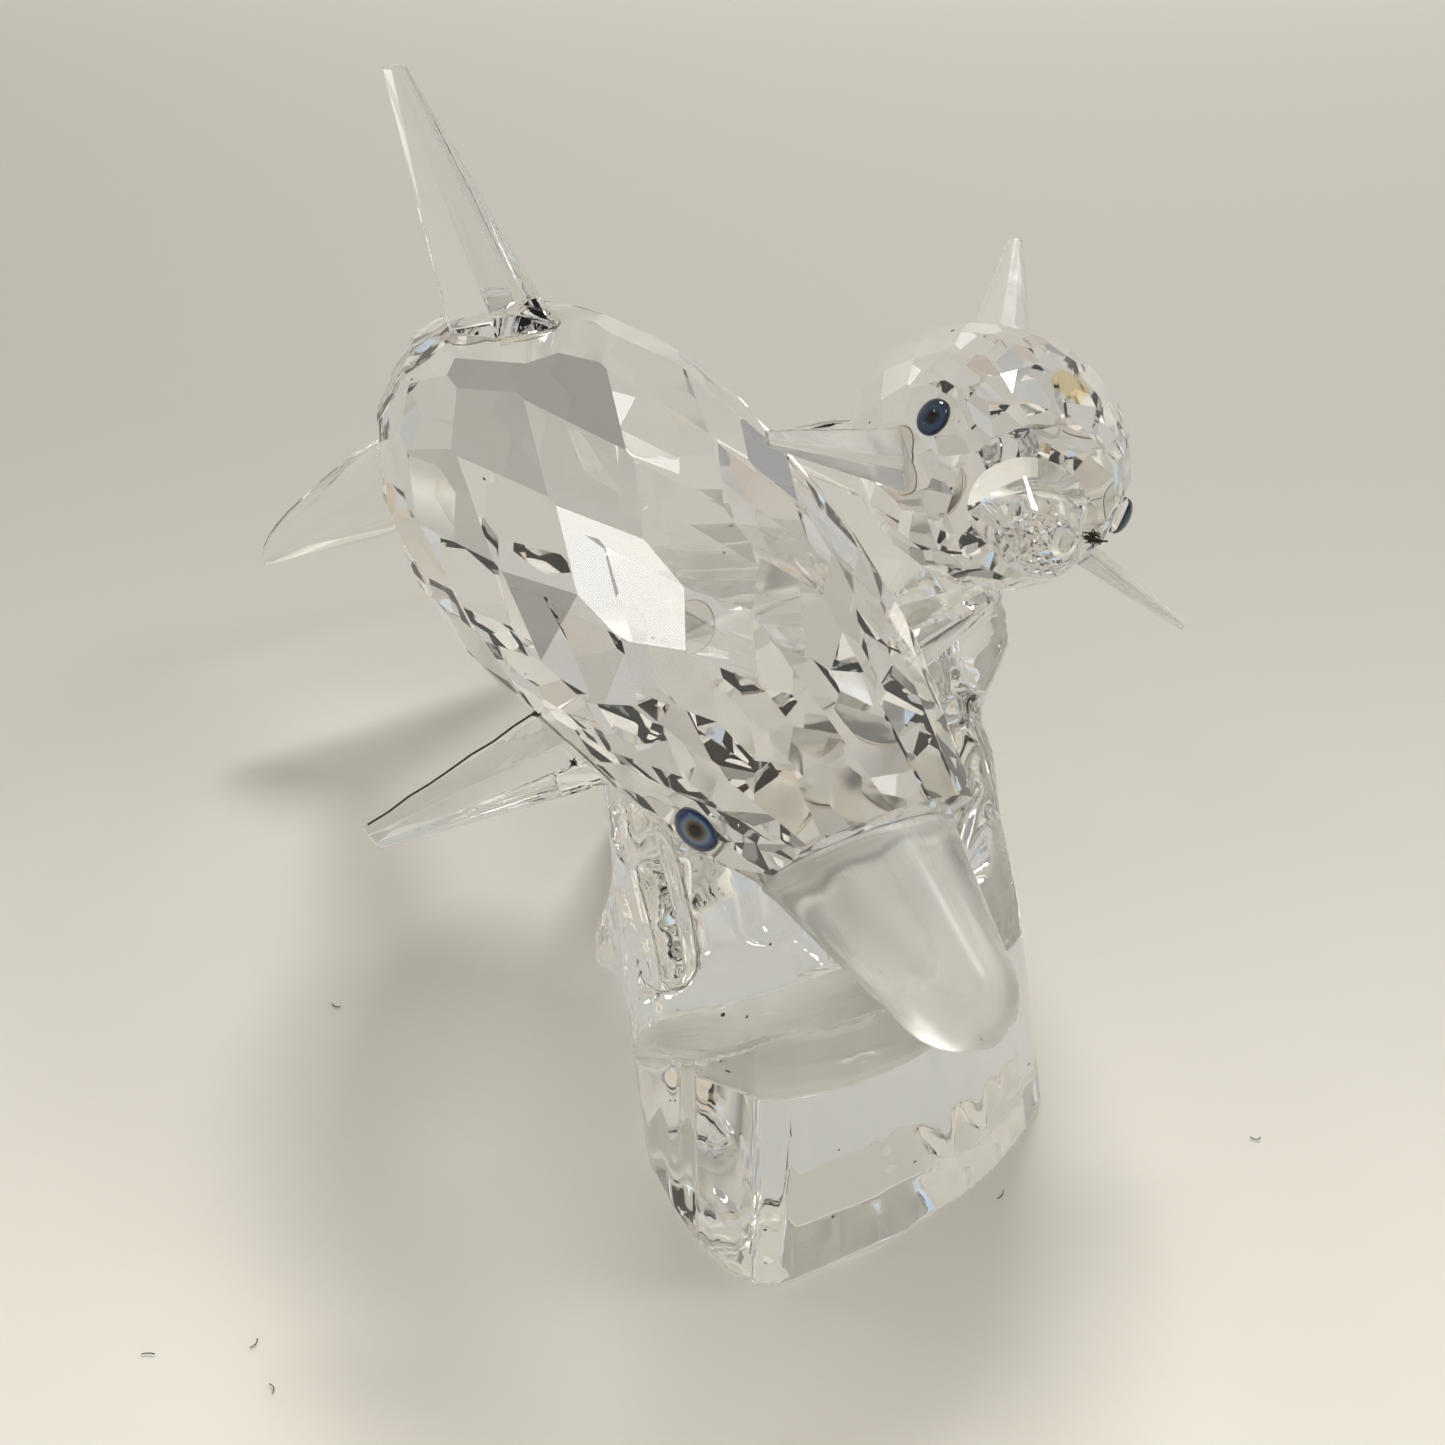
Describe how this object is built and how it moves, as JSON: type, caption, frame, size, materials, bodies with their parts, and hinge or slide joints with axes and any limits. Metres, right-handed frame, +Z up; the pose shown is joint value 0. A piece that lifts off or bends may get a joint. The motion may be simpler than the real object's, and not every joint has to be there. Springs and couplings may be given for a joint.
{
  "type": "dolphin figurine",
  "caption": "Cut clear glass dolphin and calf with blue eyes, swimming side by side, glued on a moulded clear glass wave with a trough and a flat foot",
  "frame": {"origin": "centre of the overall box's footprint, on the floor under the wave", "axes": "+Z up, out of the flat foot; +X the way that the large dolphin swims, along the longest side; +Y to its left, where the calf is"},
  "size_m": [0.1192, 0.0816, 0.0796],
  "materials": {
    "cut_glass": "polished, ground facets",
    "moulded_glass": "fire-polished, smooth",
    "frosted_glass": "pressed, lightly frosted",
    "eye_glass": "dark blue, domed and glossy"
  },
  "bodies": {
    "root": {"wave_base": "moulded_glass", "mother_body": "cut_glass", "mother_beak": "frosted_glass", "mother_dorsal_fin": "cut_glass", "mother_right_pectoral_fin": "cut_glass", "mother_left_pectoral_fin": "cut_glass", "mother_tail": "moulded_glass", "mother_right_eye": "eye_glass", "mother_left_eye": "eye_glass", "calf_body": "cut_glass", "calf_beak": "moulded_glass", "calf_dorsal_fin": "cut_glass", "calf_right_pectoral_fin": "cut_glass", "calf_left_pectoral_fin": "cut_glass", "calf_tail": "moulded_glass", "calf_right_eye": "eye_glass", "calf_left_eye": "eye_glass"}
  },
  "joints": []
}
